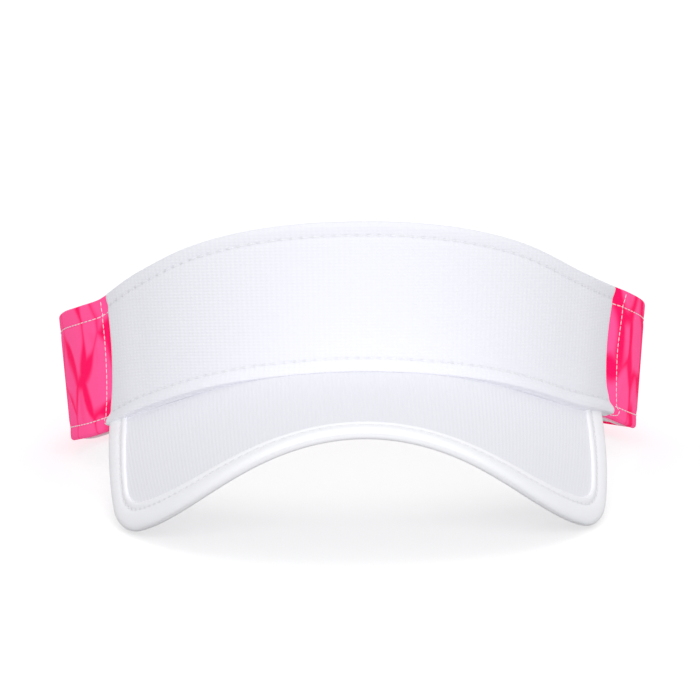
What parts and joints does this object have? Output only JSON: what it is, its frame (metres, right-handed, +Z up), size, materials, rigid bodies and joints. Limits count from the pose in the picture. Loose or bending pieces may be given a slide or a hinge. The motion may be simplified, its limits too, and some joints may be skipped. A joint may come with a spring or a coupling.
{
  "type": "sun visor",
  "caption": "Open-crown sun visor with a stiff upright front panel, an arched bound brim and two side bands that close behind the head with a peel tab.",
  "frame": {"origin": "middle of the visor's outline, on the surface it stands on", "axes": "+X to the wearer's left, -Y the way the brim points, +Z up"},
  "size_m": [0.2038, 0.2578, 0.0971],
  "materials": {
    "panel_cloth": "ribbed white cotton cloth",
    "brim_cloth": "ribbed white cotton cloth, a little greyer",
    "binding_cloth": "smooth white satin-weave binding",
    "pink_cloth": "smooth cotton printed in a hot-pink marble",
    "lining_cloth": "plain white lining",
    "towelling": "white cotton towelling",
    "tape": "white twill tape",
    "foam": "soft white foam strip",
    "buckram": "stiffened open-weave cotton",
    "board": "moulded brim board",
    "hook_and_loop": "white nylon hook and loop",
    "label": "blank woven label"
  },
  "bodies": {
    "crown": {"front_panel_shell": "panel_cloth", "front_panel_buckram": "buckram", "front_panel_lining": "lining_cloth", "brim_seam_tape": "tape", "sweatband_pad": "foam", "sweatband_cover": "towelling", "size_label": "label", "brim_top_cover": "brim_cloth", "brim_board": "board", "brim_under_cover": "brim_cloth", "brim_edge_binding": "binding_cloth"},
    "left_band": {"left_side_band": "pink_cloth", "left_band_fusing": "buckram", "left_band_lining": "lining_cloth", "left_joint_tape": "tape", "loop_patch": "hook_and_loop", "care_label": "label"},
    "right_band": {"right_side_band": "pink_cloth", "right_band_fusing": "buckram", "right_band_lining": "lining_cloth", "right_joint_tape": "tape", "tab_anchor": "pink_cloth"},
    "closure": {"closure_tab": "pink_cloth", "hook_patch": "hook_and_loop"}
  },
  "joints": [
    {"name": "right_band_flex", "type": "hinge", "parent": "crown", "child": "right_band", "pos_m": [-0.08476, -0.00724, 0.04046], "axis": [0, 0.1736, 0.9848], "range_deg": [-5, 2.5]},
    {"name": "left_band_flex", "type": "hinge", "parent": "crown", "child": "left_band", "pos_m": [0.08476, -0.00724, 0.04046], "axis": [0, 0.1736, 0.9848], "range_deg": [-2.5, 5]},
    {"name": "tab_peel", "type": "hinge", "parent": "right_band", "child": "closure", "pos_m": [-0.02901, 0.1227, 0.01754], "axis": [-0.0187, 0.2568, 0.9663], "range_deg": [0, 110]}
  ],
  "couplings": [
    {"joint": "left_band_flex", "follows": "right_band_flex", "ratio": -1}
  ]
}
